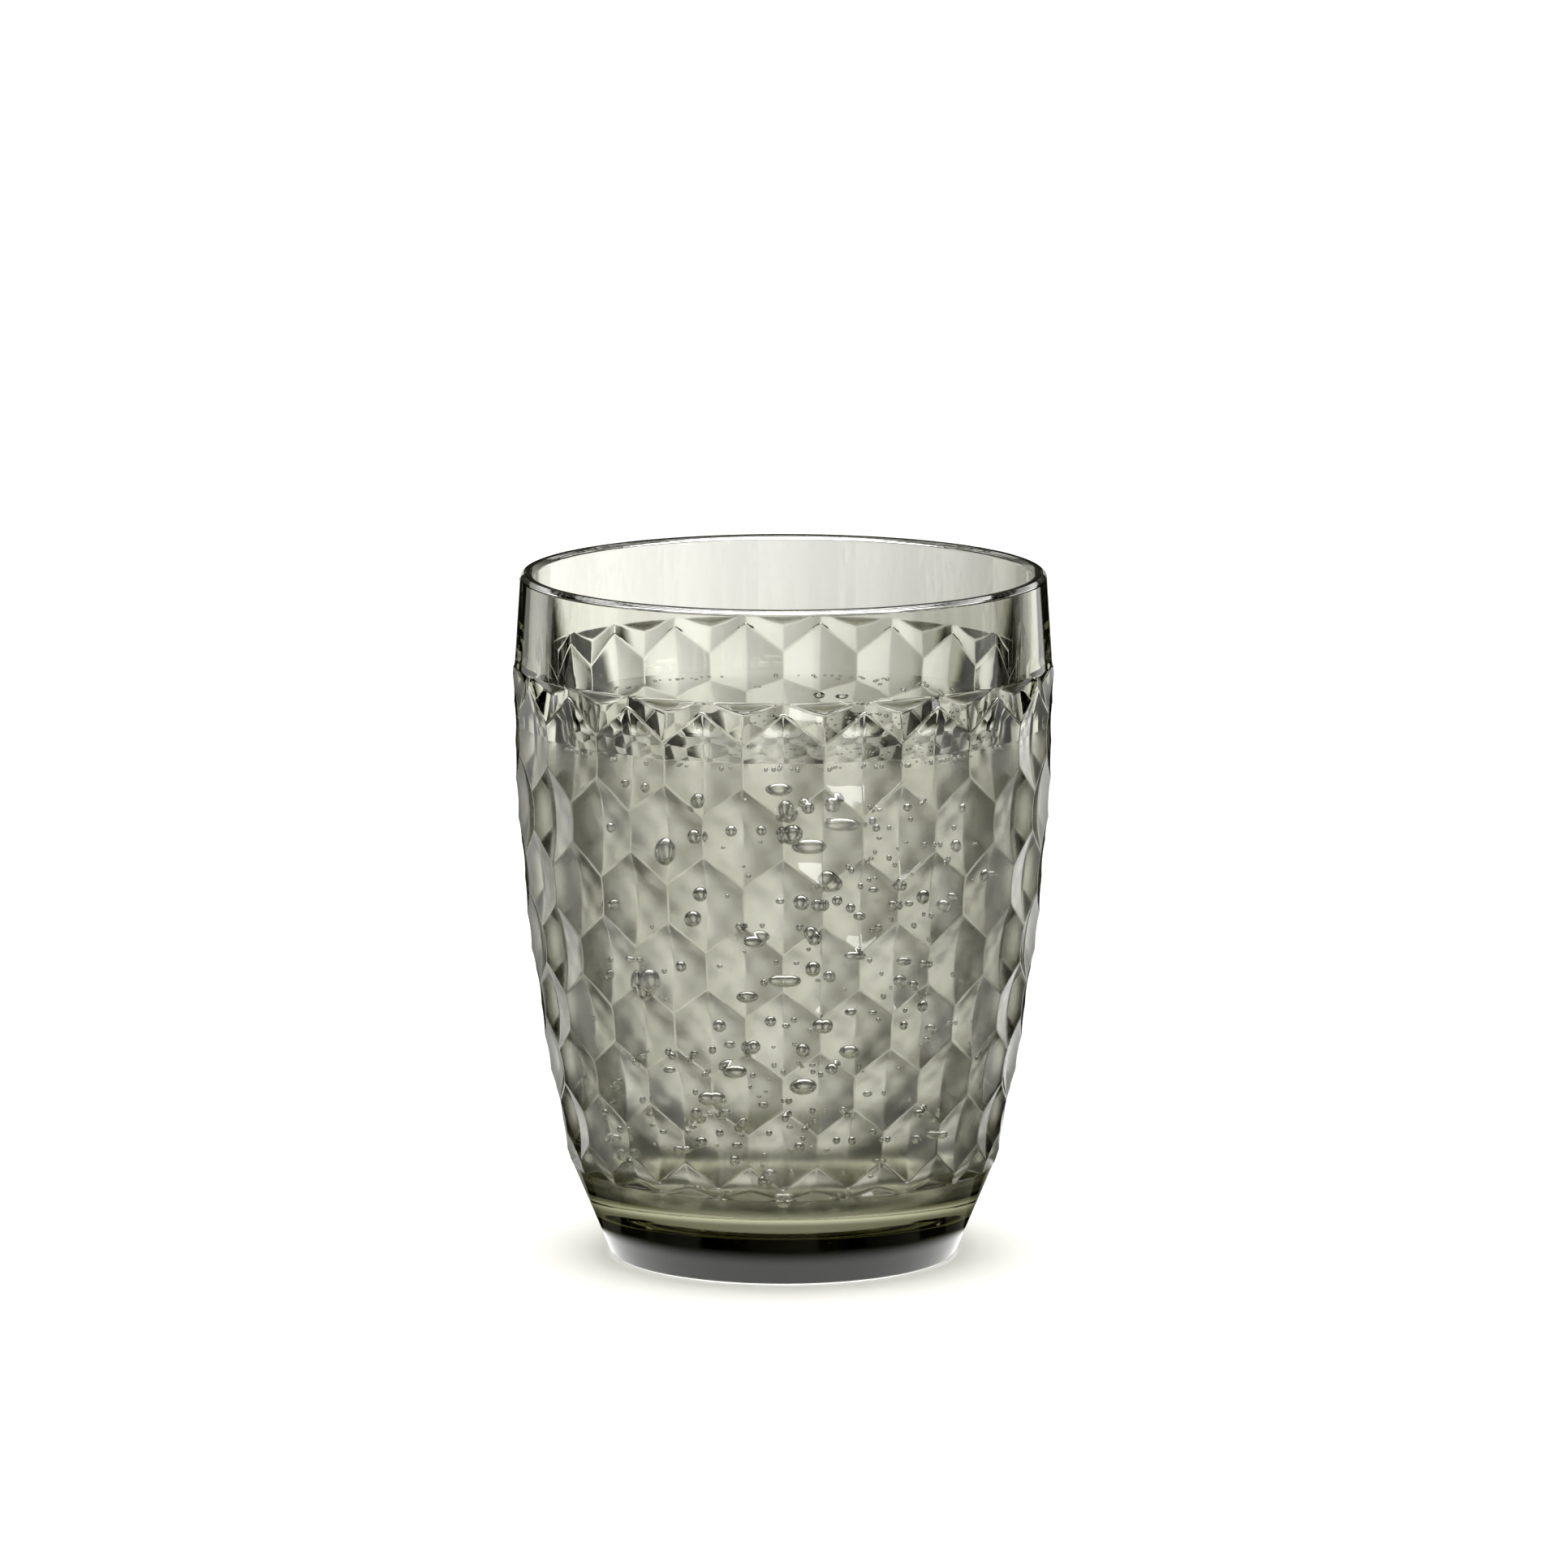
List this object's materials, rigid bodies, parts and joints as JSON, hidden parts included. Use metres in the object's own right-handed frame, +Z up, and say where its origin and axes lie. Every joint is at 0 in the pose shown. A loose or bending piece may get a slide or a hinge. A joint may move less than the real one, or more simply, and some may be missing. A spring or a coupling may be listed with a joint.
{
  "type": "whiskey tumbler",
  "caption": "Short barrel-shaped glass tumbler with a moulded honeycomb of hollow cells, a plain rim band and a thick plain foot, standing with a clear drink in it.",
  "frame": {"origin": "middle of the foot, on the surface that the tumbler stands on", "axes": "+Z up along the tumbler's axis, -Y towards the front, where a column of cells is centred"},
  "size_m": [0.0832, 0.0833, 0.1064],
  "materials": {
    "smoked_glass": "polished, tinted smoke grey with a touch of olive",
    "clear_drink": "clear liquid"
  },
  "bodies": {
    "root": {"tumbler": "smoked_glass", "drink": "clear_drink"}
  },
  "joints": []
}
